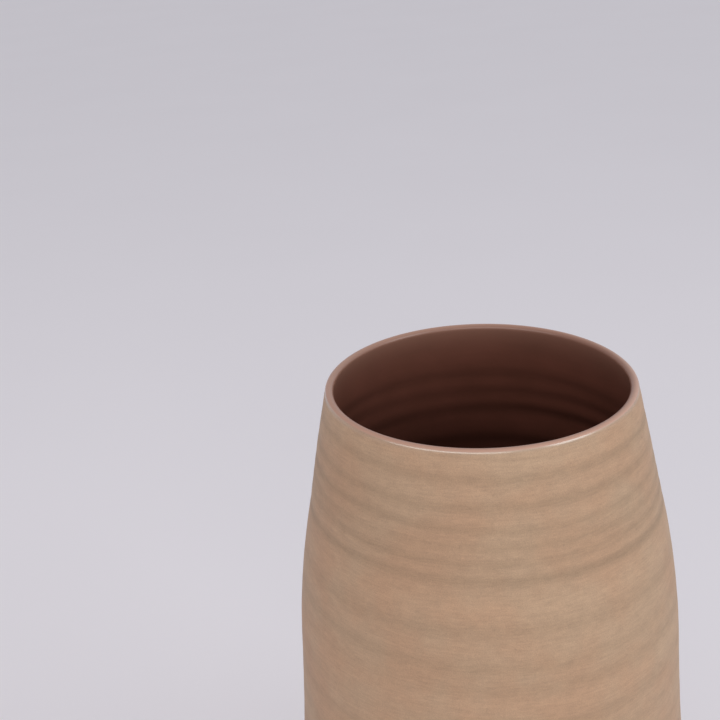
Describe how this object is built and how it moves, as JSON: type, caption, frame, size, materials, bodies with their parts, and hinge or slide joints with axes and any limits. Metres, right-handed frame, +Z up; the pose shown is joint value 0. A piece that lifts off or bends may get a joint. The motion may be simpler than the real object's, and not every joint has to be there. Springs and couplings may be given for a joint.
{
  "type": "stoneware vase",
  "caption": "Tall wheel-thrown stoneware vase with a matt sand glaze outside, a brown gloss lining and an unglazed foot ring.",
  "frame": {"origin": "centre of the foot ring's underside, on the surface that the vase stands on", "axes": "+Z up along the axis the pot was thrown about; X and Y are alike, because the pot is round"},
  "size_m": [0.1844, 0.1844, 0.34],
  "materials": {
    "fired_clay": "bare fired stoneware, matt and slightly gritty",
    "sand_glaze": "matt to satin sand glaze with fine grain, over shallow throwing rings",
    "brown_glaze": "dark red-brown gloss glaze"
  },
  "bodies": {
    "root": {"stoneware_body": "fired_clay", "outer_glaze": "sand_glaze", "inner_glaze": "brown_glaze"}
  },
  "joints": []
}
